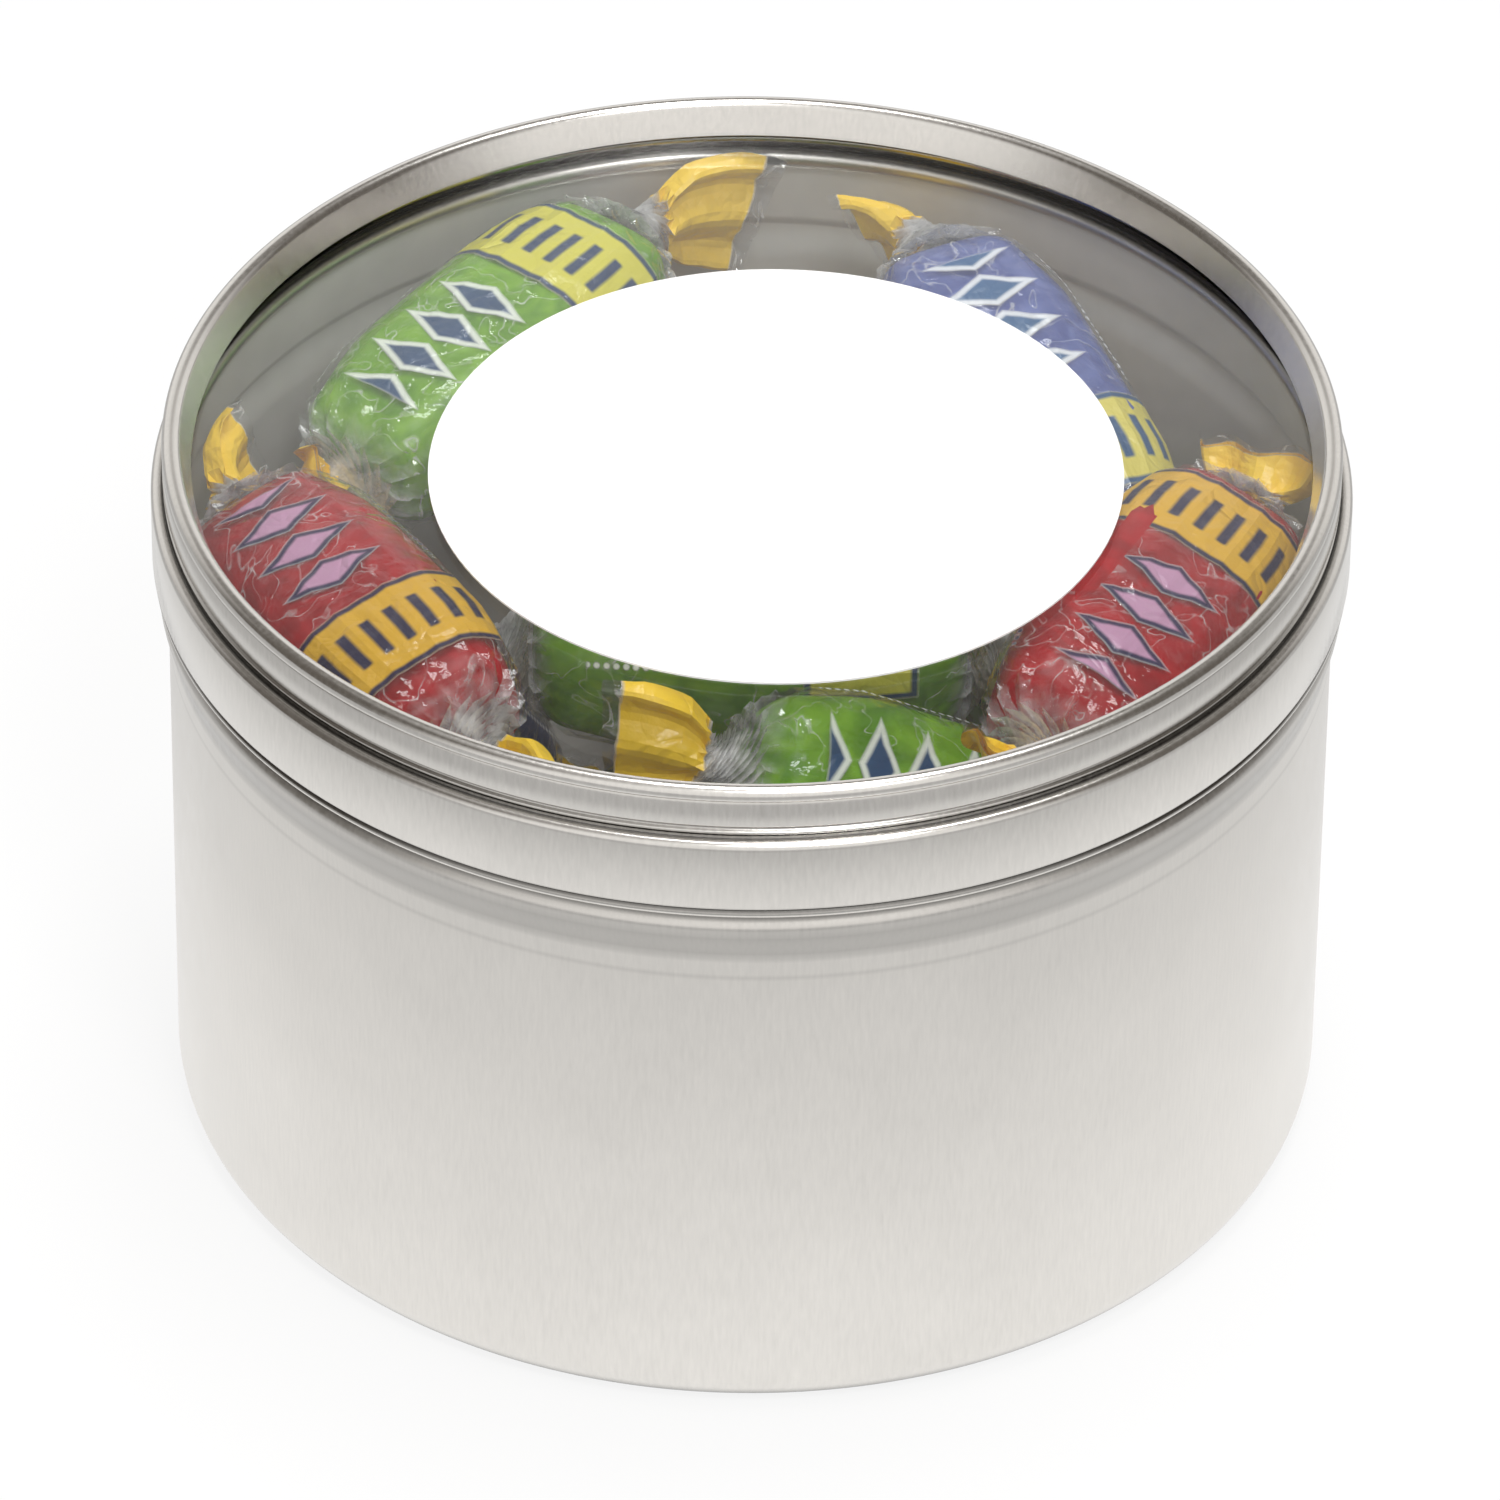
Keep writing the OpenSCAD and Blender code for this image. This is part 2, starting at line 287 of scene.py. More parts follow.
# %% [markdown]
# ## Drawing a section and spinning it
#
# A press forms the tin and the lid from flat sheet, so each is one sheet of even thickness all
# round. The way to model that is to draw only the outer line of the section, spin it round the
# axis, and give the surface the sheet's thickness afterwards. The corners of the line come from
# arcs and S-bends, because sheet metal never folds to a sharp edge.

# %% Lines of a section


def arc(x, z, r, start, end, steps=14):
    """Points along an arc, from one angle in degrees to the other."""
    turns = [math.radians(start + (end - start) * i / steps) for i in range(steps + 1)]
    return [(x + r * math.cos(a), z + r * math.sin(a)) for a in turns]


def s_bend(p, q, steps=10, flat=False):
    """Points of an S-bend from p to q that leaves along the axis, or along the radius if flat."""
    points = []
    for i in range(steps + 1):
        t = i / steps
        eased = (1 - math.cos(math.pi * t)) / 2
        across, up = (t, eased) if flat else (eased, t)
        points.append((p[0] + (q[0] - p[0]) * across, p[1] + (q[1] - p[1]) * up))
    return points


def only():
    """Nothing selected, in object mode, so that an operator can't act on another piece."""
    if bpy.context.object and bpy.context.object.mode != "OBJECT":
        bpy.ops.object.mode_set(mode="OBJECT")
    bpy.ops.object.select_all(action="DESELECT")


def draw_line(name, points):
    """A line of edges through points of radius and height, in the plane of X and Z."""
    only()
    bpy.ops.mesh.primitive_plane_add(size=mm)
    bpy.context.object.name = name
    bpy.ops.object.mode_set(mode="EDIT")
    bpy.ops.mesh.merge(type="CENTER")
    bpy.ops.transform.translate(value=(points[0][0], 0, points[0][1]))
    for (x0, z0), (x1, z1) in zip(points, points[1:]):
        step = math.hypot(x1 - x0, z1 - z0)
        if step > 1e-7:
            bpy.ops.mesh.extrude_vertices_move(TRANSFORM_OT_translate={"value": (x1 - x0, 0, z1 - z0)})
    bpy.ops.object.mode_set(mode="OBJECT")
    return bpy.context.object


def spin_sheet(piece, thickness, materials, steps=240):
    """Spins the line round the axis and gives the surface the sheet's thickness, inwards.

    The first material is the outer face's, and the last one is the inner face's.
    """
    for material in materials:
        piece.data.materials.append(material)
    bpy.ops.object.mode_set(mode="EDIT")
    bpy.ops.mesh.select_all(action="SELECT")
    bpy.ops.mesh.spin(steps=steps, angle=2 * math.pi, center=(0, 0, 0), axis=(0, 0, 1))
    bpy.ops.mesh.select_all(action="SELECT")
    bpy.ops.mesh.remove_doubles(threshold=0.001 * mm)
    bpy.ops.mesh.normals_make_consistent(inside=False)
    bpy.ops.object.mode_set(mode="OBJECT")
    widest = max(piece.data.polygons, key=lambda f: Vector(f.center).xy.length)
    if Vector(widest.normal).xy.dot(Vector(widest.center).xy) < 0:
        bpy.ops.object.mode_set(mode="EDIT")
        bpy.ops.mesh.flip_normals()
        bpy.ops.object.mode_set(mode="OBJECT")
    wall = piece.modifiers.new("wall", "SOLIDIFY")
    wall.thickness = thickness
    wall.offset = -1
    wall.use_even_offset = True
    wall.use_quality_normals = True
    wall.material_offset = len(materials) - 1
    bpy.ops.object.modifier_apply(modifier="wall")
    bpy.ops.object.shade_smooth_by_angle(angle=math.radians(40))
    print(piece.name, "faces:", len(piece.data.polygons))


# %% [markdown]
# ## The tin
#
# The tin is drawn in one piece. Its base panel is pressed up a little, so that it stands on a
# ring. Its wall swells into a bead just under the lid, which stops the lid, and its raw edge is
# curled inwards at the mouth. The radii come from the widest and highest points of the lid.

# %% Driving dimensions
sheet = 0.25 * mm
lid_low, lid_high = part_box("lid_ring")
lid_r = lid_high.x
top = lid_high.z
wall_r = lid_r - 0.85 * mm
neck_r = lid_r - 0.7 * mm
print("lid radius and height in mm:", round(lid_r / mm, 2), round(top / mm, 2))

# %% The tin's section
foot_r = 2.2 * mm
base_rise = 0.8 * mm
bead_r = wall_r + 0.55 * mm
flare = 0.08 * mm
curl_r = 0.5 * mm
shoulder_z = top - 3.67 * mm
skirt_end_z = shoulder_z - 3.9 * mm
hem_z = skirt_end_z - 0.5 * mm
bead_z = hem_z - 1.4 * mm
mouth_z = top - 3.6 * mm

tin_line = [(0, base_rise)]
tin_line += s_bend((wall_r - foot_r - 3.4 * mm, base_rise), (wall_r - foot_r - 1.2 * mm, 0), flat=True)
tin_line += arc(wall_r - foot_r, foot_r, foot_r, -90, 0)
tin_line += [(wall_r, bead_z - 3.6 * mm)]
tin_line += s_bend((wall_r + flare, bead_z - 2.3 * mm), (bead_r, bead_z), 16)
tin_line += s_bend((bead_r, bead_z + 0.1 * mm), (neck_r, bead_z + 1.05 * mm), 12)
tin_line += arc(neck_r - curl_r, mouth_z - curl_r, curl_r, 0, 270, 24)
tin = draw_line("tin_cup", tin_line)
spin_sheet(tin, sheet, [tin_metal, tin_inside])
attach(tin, "tin")
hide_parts("tin_body")

# %% [markdown]
# ## The lid ring
#
# From the window outwards, the ring's sheet has a lip that holds the window, a small roll along
# the top, a neck with two grooves that grips the window's edge, a shoulder that sits on the
# tin's mouth, the straight skirt, and a hem curled in so that no raw edge shows.

# %% The lid's section
rim_w = 2.3 * mm
roll_r = 0.55 * mm
roll_z = top - roll_r
window_z = top - 2 * mm
hem_r = 0.24 * mm


def groove(start, end):
    """One fold of the neck: radii are given inwards from the skirt, heights down from the window."""
    (in0, down0), (in1, down1) = start, end
    return s_bend((lid_r - in0 * mm, window_z - down0 * mm), (lid_r - in1 * mm, window_z - down1 * mm), 8)


lid_line = [(lid_r - rim_w, window_z + 0.12 * mm)]
lid_line += arc(lid_r - 0.65 * mm - roll_r, roll_z, roll_r, 160, -15, 20)
lid_line += [(lid_r - 0.76 * mm, roll_z - 0.25 * mm), (lid_r - 0.67 * mm, roll_z - 0.45 * mm)]
lid_line += groove((0.67, 0.4), (0.87, 0.63))
lid_line += groove((0.87, 0.67), (0.69, 0.86))
lid_line += groove((0.69, 0.92), (0.77, 1.12))
lid_line += arc(lid_r - 0.47 * mm, shoulder_z, 0.47 * mm, 120, 0)
lid_line += s_bend((lid_r, skirt_end_z), (lid_r - 0.22 * mm, skirt_end_z - 0.25 * mm), 6)
lid_line += arc(lid_r - 0.07 * mm - hem_r, hem_z, hem_r, 30, -120, 10)
lid = draw_line("lid_ring_formed", lid_line)
spin_sheet(lid, sheet, [lid_metal])
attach(lid, "lid")
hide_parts("lid_ring")

# %% [markdown]
# ## Where the sweets lie
#
# Six sweets show through the window. Eight more under them lean against the wall and carry
# them. The lists repeat the part's own places: a centre in millimetres, the roll, pitch and turn
# in degrees, and for each tail how far it bends, towards which side, its twist and its length.

# %% The sweets' places
UP_AND_DOWN = ((80, 90, 0, 0.7), (80, 270, 0, 0.7))
SWEETS = [
    ("green", (-15.2, 17.3, 36), (0, -6, 51), ((110, 150, 60, 0.4), (54, 210, 90, 0.85))),
    ("blue", (15.6, 13.8, 34.9), (0, 15, -63), ((70, 215, 120, 0.5), (80, 270, 0, 0.4))),
    ("red", (22, -8.3, 36.2), (20, 0, 63), ((80, 90, 0, 0.5), (95, 60, -30, 0.42))),
    ("green", (0, -6.2, 33.2), (0, 0, 0), ((110, 270, 0, 0.4), (110, 270, 0, 0.4))),
    ("red", (-22.1, -8.8, 36.1), (16, -2, -58.5), ((85, 0, 90, 0.6), (40, 160, 20, 0.7))),
    ("green", (10.2, -17.5, 29.6), (30, 28, 12), ((30, 270, 60, 0.7), (110, 90, 0, 0.4))),
]
LEANING = [
    (30, 22, 14.6, 50, "green"),
    (90, 22, 14.6, 50, "red"),
    (150, 22, 14.6, 50, "blue"),
    (207, 22, 14.6, 50, "green"),
    (270, 22, 10.5, 32, "blue"),
    (330, 22, 14.6, 50, "red"),
    (20, 7, 14.6, 50, "red"),
    (200, 7, 14.6, 50, "green"),
]
for angle, distance, height, lean, colour in LEANING:
    a = math.radians(angle)
    centre = (distance * math.cos(a), distance * math.sin(a), height)
    SWEETS.append((colour, centre, (0, -lean, angle + 90), UP_AND_DOWN))


def off_the_part(number, centre):
    """How far a listed centre lies from the middle of the part's own sweet, in millimetres."""
    low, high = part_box(f"sweet_{number}")
    return ((low + high) / 2 / mm - Vector(centre)).length


print("furthest off the part, mm:", round(max(off_the_part(i + 1, s[1]) for i, s in enumerate(SWEETS)), 3))

# %% [markdown]
# ## The hard sweets
#
# A hard sweet is boiled sugar, pulled to a rope and cut to bars, so it has flat sides, round
# corners and blunt, slightly narrower ends. It starts as a block at its full size. Its edges
# are bevelled, its ends drawn in, and one level of subdivision melts the corners together.

# %% One hard sweet
SWEET_SIZE = Vector((24.5, 11.5, 9)) * mm


def pick(piece, wanted, kind="VERT"):
    """Goes into edit mode with only the wanted vertices or faces of a piece selected."""
    bpy.ops.object.mode_set(mode="OBJECT")
    mesh = piece.data
    for items in (mesh.vertices, mesh.edges, mesh.polygons):
        items.foreach_set("select", np.zeros(len(items), bool))
    items = mesh.vertices if kind == "VERT" else mesh.polygons
    items.foreach_set("select", np.asarray(wanted, bool))
    bpy.ops.object.mode_set(mode="EDIT")
    bpy.ops.mesh.select_mode(type=kind)


def places(mesh):
    """The mesh's vertices as rows of x, y, z."""
    rows = np.empty(len(mesh.vertices) * 3)
    mesh.vertices.foreach_get("co", rows)
    return rows.reshape(-1, 3)


only()
bpy.ops.mesh.primitive_cube_add(size=1, scale=SWEET_SIZE)
bar = bpy.context.object
bar.name = "bar_of_boiled_sugar"
bpy.ops.object.transform_apply(scale=True)
bpy.ops.object.mode_set(mode="EDIT")
bpy.ops.mesh.select_all(action="SELECT")
bpy.ops.mesh.bevel(offset=3.3 * mm, segments=4)
bpy.ops.mesh.select_all(action="SELECT")
for x in (-6, -2, 2, 6):
    bpy.ops.mesh.bisect(plane_co=(x * mm, 0, 0), plane_no=(1, 0, 0))
    bpy.ops.mesh.select_all(action="SELECT")
bpy.ops.object.mode_set(mode="OBJECT")
for end in (-1, 1):
    pick(bar, places(bar.data)[:, 0] * end > 8.6 * mm)
    bpy.ops.transform.resize(value=(1, 0.84, 0.84), center_override=(0, 0, 0))
bpy.ops.object.mode_set(mode="OBJECT")
melt = bar.modifiers.new("melt", "SUBSURF")
melt.levels = melt.render_levels = 1
bpy.ops.object.modifier_apply(modifier="melt")
bpy.ops.object.shade_smooth()
print("faces of a hard sweet:", len(bar.data.polygons), "size in mm:", [round(v / mm, 1) for v in bar.dimensions])

# %% [markdown]
# ## The twisted film
#
# A wrapper is a square of film rolled round the sweet and twisted at both ends. It hugs the bar,
# gathers into folds, winds tight at the neck and opens again into a pleated fan. It is modelled
# as a sleeve: a ring of 48 vertices is drawn out ring by ring from one tail to the other. The
# last ring of each tail is pressed flat and joined, so that the sleeve is a closed bag.

# %% Stations along the film
# From the middle out: distance, half width, half thickness, depth of the pleats, all in mm.
STATIONS = [
    (0, 6.0, 4.75, 0),
    (6.6, 5.85, 4.65, 0),
    (9.6, 5.2, 4.2, 0),
    (11.4, 4.0, 3.4, 0),
    (12.6, 2.6, 2.3, 0),
    (13.4, 1.6, 1.5, 0.05),
    (14.3, 1.15, 1.1, 0.1),
    (15.1, 1.2, 1.05, 0.15),
    (16.2, 2.5, 0.8, 0.4),
    (17.6, 3.4, 0.6, 0.42),
    (20.6, 3.9, 0.35, 0.4),
    (23.4, 4.0, 0.12, 0.35),
]
SPOKES = 48
NECK, TAIL = 13.45, 16.5


def between(s):
    """Half width, half thickness and pleat depth at distance s, in millimetres."""
    rows = np.array(STATIONS)
    return [np.interp(s, rows[:, 0], rows[:, k]) for k in (1, 2, 3)]


one_side = list(np.linspace(0.9, 9.6, 9)) + list(np.linspace(10.2, 15, 14)) + list(np.linspace(15.5, 23.4, 13))
distances = [-s for s in reversed(one_side)] + [0] + one_side

# %% Drawing out the sleeve
only()
bpy.ops.mesh.primitive_circle_add(vertices=SPOKES, radius=mm, rotation=(0, math.pi / 2, 0))
sleeve = bpy.context.object
sleeve.name = "sleeve_of_film"
bpy.ops.object.transform_apply(rotation=True)
bpy.ops.object.mode_set(mode="EDIT")
bpy.ops.mesh.select_all(action="SELECT")
bpy.ops.transform.translate(value=(distances[0] * mm, 0, 0))
wide, thick = 1.0, 1.0
for here, there in zip([distances[0]] + distances, distances):
    if there != distances[0]:
        bpy.ops.mesh.extrude_region_move(TRANSFORM_OT_translate={"value": ((there - here) * mm, 0, 0)})
    w, t, _ = between(abs(there))
    bpy.ops.transform.resize(value=(1, w / wide, t / thick), center_override=(there * mm, 0, 0))
    wide, thick = w, t
bpy.ops.object.mode_set(mode="OBJECT")
print("rings:", len(distances), "vertices:", len(sleeve.data.vertices))

# %% Marks for the rings and spokes
# Each vertex keeps the numbers of its ring and its spoke, to be found again after the bends.
rows = places(sleeve.data) / mm
ring_of = np.argmin(abs(rows[:, :1] - np.array(distances)), axis=1)
shape = np.array([between(abs(distances[k]))[:2] for k in ring_of])
angle = np.arctan2(rows[:, 2] / shape[:, 1], rows[:, 1] / shape[:, 0])
spoke_of = np.round(angle / (2 * math.pi) * SPOKES).astype(int) % SPOKES
s_of = np.array(distances)[ring_of]
print("vertices on each ring:", set(np.bincount(ring_of)))

# %% Squaring and folding the sleeve
# The film follows the bar's flat sides, so the slanting spokes move out over its corners.
body = abs(s_of) < 12
for least, grow in ((0.5, 1.045), (0.85, 1.045)):
    pick(sleeve, body & (abs(np.sin(2 * angle)) > least))
    bpy.ops.transform.resize(value=(1, grow, grow), center_override=(0, 0, 0))
# Where the film gathers towards the neck, every third spoke is a fold that stands out.
for start, grow in ((10, 1.05), (11, 1.09), (12, 1.13)):
    for k, share in ((0, 1), (1, -0.6)):
        size = 1 + (grow - 1) * share
        pick(sleeve, (abs(s_of) > start) & (abs(s_of) < 15.6) & (spoke_of % 3 == k))
        bpy.ops.transform.resize(value=(1, size, size), center_override=(0, 0, 0))

# %% Pleating the tails
# The pleats run along the fan. Spokes are counted in eights, and each eight is one pleat.
PLEAT = {0: 1, 1: 0.7, 7: 0.7, 3: -0.7, 5: -0.7, 4: -1}
for k, distance in enumerate(distances):
    depth = between(abs(distance))[2]
    if depth < 0.1:
        continue
    for step, share in PLEAT.items():
        eighth = np.where(spoke_of <= SPOKES // 2, spoke_of, SPOKES - spoke_of) % 8
        pick(sleeve, (ring_of == k) & (eighth == step))
        bpy.ops.transform.translate(value=(0, 0, depth * share * mm))
bpy.ops.object.mode_set(mode="OBJECT")
print("pleated height in mm:", round(sleeve.dimensions.z / mm, 1))

# %% Closing the ends and keeping the marks
# The ends are pressed flat: each upper vertex meets the lower one under it.
for k in (0, len(distances) - 1):
    for spoke in range(1, SPOKES // 2):
        pair = (ring_of == k) & ((spoke_of == spoke) | (spoke_of == SPOKES - spoke))
        pick(sleeve, pair)
        bpy.ops.transform.resize(value=(1, 1, 0), center_override=tuple(places(sleeve.data)[pair].mean(axis=0)))
bpy.ops.object.mode_set(mode="OBJECT")
for name, numbers in (("ring", ring_of), ("spoke", spoke_of)):
    mark = sleeve.data.attributes.new(name, "INT", "POINT")
    mark.data.foreach_set("value", numbers.astype(np.int32))
only()
bpy.context.view_layer.objects.active = sleeve
bpy.ops.object.mode_set(mode="EDIT")
bpy.ops.mesh.select_all(action="SELECT")
bpy.ops.mesh.remove_doubles(threshold=0.001 * mm)
bpy.ops.mesh.normals_make_consistent(inside=False)
bpy.ops.object.mode_set(mode="OBJECT")
bpy.ops.object.shade_smooth()
print("faces of the sleeve:", len(sleeve.data.polygons))

# %% [markdown]
# ## The film's own map
#
# Film is printed flat, before it is rolled, so its pattern is laid out in the flat sheet's own
# millimetres: one way along the sweet, the other way round it from the middle of its top.

# %% Laying out the print
ROUND = 34


def lay_out_print(mesh):
    """A UV map in millimetres of flat film, with its seam along the bottom."""
    ring, spoke, corner = (np.empty(n, np.int32) for n in (len(mesh.vertices),) * 2 + (len(mesh.loops),))
    mesh.attributes["ring"].data.foreach_get("value", ring)
    mesh.attributes["spoke"].data.foreach_get("value", spoke)
    mesh.loops.foreach_get("vertex_index", corner)
    along = np.array(distances)[ring[corner]]
    turn = ((spoke[corner] - SPOKES // 4 + SPOKES // 2) % SPOKES) - SPOKES // 2
    turn = turn.reshape(-1, 4).astype(float)
    across_the_seam = np.ptp(turn, axis=1) > SPOKES / 2
    turn[across_the_seam] = np.where(turn[across_the_seam] < 0, turn[across_the_seam] + SPOKES, turn[across_the_seam])
    layer = mesh.uv_layers.new(name="flat_film")
    layer.data.foreach_set("uv", np.column_stack([along, turn.ravel() / SPOKES * ROUND]).ravel())


while sleeve.data.uv_layers:
    sleeve.data.uv_layers.remove(sleeve.data.uv_layers[0])
lay_out_print(sleeve.data)
print("map:", sleeve.data.uv_layers[0].name)

# %% [markdown]
# ## Boiled sugar
#
# A boiled sweet is a glass of sugar. It is deep in colour, a little milky with tiny bubbles,
# and its skin is smooth. Light sinks in and comes out again close by, which softens its edges.

# %% Candy materials


def boiled_sugar(name, deep, bright):
    """Sugar pulled along the bar: deep and bright are the colours of its streaks."""
    material, tree, out = new_material(name)
    place = add(tree, "TexCoord").outputs["Object"]
    streak = add(tree, "TexNoise", Vector=place, Scale=1 / (3 * mm), Detail=3, Distortion=1.5)
    bubble = add(tree, "TexNoise", Vector=place, Scale=1 / (0.8 * mm), Detail=1)
    shade = add(tree, "MapRange", Value=streak.outputs["Fac"], From_Min=0.35, From_Max=0.65)
    tone = add(
        tree, "Mix", {"data_type": "RGBA"}, i0=shade.outputs[0], i6=linear(deep), i7=linear(bright),
    )
    bump = add(tree, "Bump", Height=bubble.outputs["Fac"], Distance=0.03 * mm, Strength=0.4)
    sugar = add(
        tree, "BsdfPrincipled", Base_Color=tone.outputs[2], Roughness=0.25, IOR=1.5, Specular_IOR_Level=0.15,
        Subsurface_Weight=0.35, Subsurface_Radius=(1.6 * mm, 0.8 * mm, 0.6 * mm), Subsurface_Scale=1.0,
        Normal=bump.outputs[0],
    )
    tree.links.new(sugar.outputs[0], out.inputs["Surface"])
    return material


SUGAR = {
    "red": boiled_sugar("boiled_sugar_red", "8e0910", "b2121b"),
    "green": boiled_sugar("boiled_sugar_green", "5c9016", "82b42a"),
    "blue": boiled_sugar("boiled_sugar_blue", "4a5794", "6b78b0"),
}
print("sugars:", sorted(SUGAR))

# %% [markdown]
# ## Printed film
#
# The film is clear, glossy and thin. Its middle carries a printed panel and a row of lozenges,
# its tails are printed yellow up to a clear margin, and where it is twisted it turns frosty,
# because many small folds scatter the light. One material per colour holds all of it, laid out
# in millimetres of flat film. The clear parts mix a clear shader with a glossy one by Schlick's
# rule, which is the same for both faces of the film.

# %% Masks for the print


def number(tree, operation, a, b=0.0, c=0.0):
    """The socket of one sum, product or other simple operation."""
    return add(tree, "Math", {"operation": operation}, i0=a, i1=b, i2=c).outputs[0]


def within(tree, value, centre, half, edge=0.1):
    """One where a value lies within half of a centre, and nought outside, with a soft edge."""
    off = number(tree, "ABSOLUTE", number(tree, "SUBTRACT", value, centre))
    ramp = add(
        tree, "MapRange", Value=off, From_Min=half - edge, From_Max=half + edge, To_Min=1.0, To_Max=0.0,
    )
    return ramp.outputs[0]


def paint(tree, under, over, mask):
    """One colour laid over another where the mask is one."""
    return add(tree, "Mix", {"data_type": "RGBA"}, i0=mask, i6=under, i7=over).outputs[2]


def both(tree, a, b):
    return number(tree, "MULTIPLY", a, b)


def either(tree, a, b):
    return number(tree, "MAXIMUM", a, b)


# %% Printed film


def printed_film(name, panel, ink, fill, outline):
    """Clear film printed with a panel, its border in ink, and outlined lozenges."""
    material, tree, out = new_material(name)
    flat = add(tree, "SeparateXYZ", Vector=add(tree, "UVMap", {"uv_map": "flat_film"}).outputs[0])
    along, across = flat.outputs[0], flat.outputs[1]
    reach = number(tree, "ABSOLUTE", along)
    place = add(tree, "TexCoord").outputs["Object"]
    crease = add(tree, "TexNoise", Vector=place, Scale=1 / (1.4 * mm), Detail=3, Roughness=0.6, Distortion=0.3)
    folds = add(tree, "TexNoise", Vector=place, Scale=1 / (3.4 * mm), Detail=2, Distortion=0.8)
    sharp = number(tree, "ABSOLUTE", number(tree, "SUBTRACT", folds.outputs["Fac"], 0.5))
    fine = number(tree, "ABSOLUTE", number(tree, "SUBTRACT", crease.outputs["Fac"], 0.5))
    relief = number(tree, "MULTIPLY_ADD", fine, 0.25, sharp)

    in_panel = both(tree, within(tree, along, 6.2, 3.2), within(tree, across, 0, 7.5))
    inner = both(tree, within(tree, along, 6.2, 2.8), within(tree, across, 0, 7.1))
    border = number(tree, "SUBTRACT", in_panel, inner)
    stripe = within(tree, number(tree, "PINGPONG", across, 1.4), 0.7, 0.3)
    stripe = both(tree, stripe, both(tree, within(tree, along, 6.2, 1.5), within(tree, across, 0, 5.6)))

    step = number(tree, "SUBTRACT", number(tree, "PINGPONG", number(tree, "ADD", along, 9.1), 1.5), 0.0)
    lozenge = number(tree, "ADD", number(tree, "MULTIPLY", step, 0.9), number(tree, "MULTIPLY", number(tree, "ABSOLUTE", across), 0.42))
    in_row = within(tree, along, -3.9, 5.2)
    in_fill = both(tree, in_row, within(tree, lozenge, 0, 0.8))
    in_outline = both(tree, in_row, within(tree, lozenge, 0, 1.15))

    dots = add(tree, "VectorMath", {"operation": "LENGTH"}, i0=add(
        tree, "CombineXYZ",
        X=number(tree, "SUBTRACT", number(tree, "PINGPONG", along, 0.55), 0.27),
        Y=number(tree, "SUBTRACT", number(tree, "ABSOLUTE", across), 5.4),
    ).outputs[0])
    in_dots = both(tree, within(tree, dots.outputs["Value"], 0, 0.17, 0.06), within(tree, along, -3.9, 5.2))

    wander = number(tree, "MULTIPLY_ADD", folds.outputs["Fac"], 1.2, -0.6)
    in_tail = within(tree, number(tree, "ADD", reach, wander), 18.8, 3.3, 0.12)
    neck = within(tree, reach, 14.4, 2.1, 1.3)
    speckle = add(tree, "MapRange", Value=crease.outputs["Fac"], From_Min=0.35, From_Max=0.7, To_Min=0.15, To_Max=0.75)
    frost = both(tree, neck, speckle.outputs[0])
    # Painted highlights: thin white lines of coat along the creases of the folds stand in for glints, over a faint
    # even haze.
    painted_crease_glint = both(tree, within(tree, sharp, 0, 0.008, 0.006), speckle.outputs[0])
    haze_and_painted_glints = number(tree, "MULTIPLY_ADD", painted_crease_glint, 0.55, 0.01)

    colour = paint(tree, linear("ffffff"), linear("ffd636"), in_tail)
    colour = paint(tree, colour, linear(panel), in_panel)
    colour = paint(tree, colour, linear(ink), either(tree, border, stripe))
    colour = paint(tree, colour, linear(outline), either(tree, in_outline, in_dots))
    colour = paint(tree, colour, linear(fill), in_fill)
    opaque = either(tree, either(tree, in_tail, frost), haze_and_painted_glints)
    print_ink = either(tree, either(tree, in_panel, in_outline), in_dots)
    opaque = either(tree, opaque, number(tree, "MULTIPLY", print_ink, 0.92))

    bump = add(tree, "Bump", Height=relief, Distance=0.9 * mm, Strength=0.6)
    facing = add(tree, "LayerWeight", Blend=0.5, Normal=bump.outputs[0]).outputs["Facing"]
    gloss = number(tree, "MULTIPLY_ADD", number(tree, "POWER", facing, 5.0), 0.9, 0.035)
    shine = add(tree, "BsdfGlossy", Color=(1, 1, 1, 1), Roughness=0.05, Normal=bump.outputs[0])
    clear = add(tree, "BsdfTransparent", Color=(0.98, 0.98, 0.98, 1))
    film = add(tree, "MixShader", i0=gloss, i1=clear.outputs[0], i2=shine.outputs[0])
    ink_coat = add(tree, "BsdfPrincipled", Base_Color=colour, Roughness=0.3, Normal=bump.outputs[0])
    glow = add(tree, "BsdfTranslucent", Color=colour, Normal=bump.outputs[0])
    coat = add(tree, "MixShader", i0=0.1, i1=ink_coat.outputs[0], i2=glow.outputs[0])
    whole = add(tree, "MixShader", i0=opaque, i1=film.outputs[0], i2=coat.outputs[0])
    tree.links.new(whole.outputs[0], out.inputs["Surface"])
    return material


FILM = {
    "red": printed_film("printed_film_red_sweets", "e9b832", "27284a", "cf9fc0", "2b2c52"),
    "green": printed_film("printed_film_green_sweets", "e5dd55", "27406a", "2f4f78", "eef3ea"),
    "blue": printed_film("printed_film_blue_sweets", "e9dc6a", "2f5a86", "3c6a98", "eef2f6"),
}
print("films:", sorted(FILM))

# %% [markdown]
# ## Twisting, bending and laying the films
#
# Each sweet gets its own copy of the bar and of the sleeve. A tail is shortened to its length,
# twisted ring by ring through the neck, and bent the same way: everything past a ring turns a
# little about that ring, then everything past the next one, as fingers would bend it.

# %% Turning in edit mode


def turn(angle, axis, centre):
    """Turns what is selected by an angle in degrees. With no window the operator turns the other way."""
    bpy.ops.transform.rotate(value=-math.radians(angle), orient_axis=axis, center_override=tuple(centre))


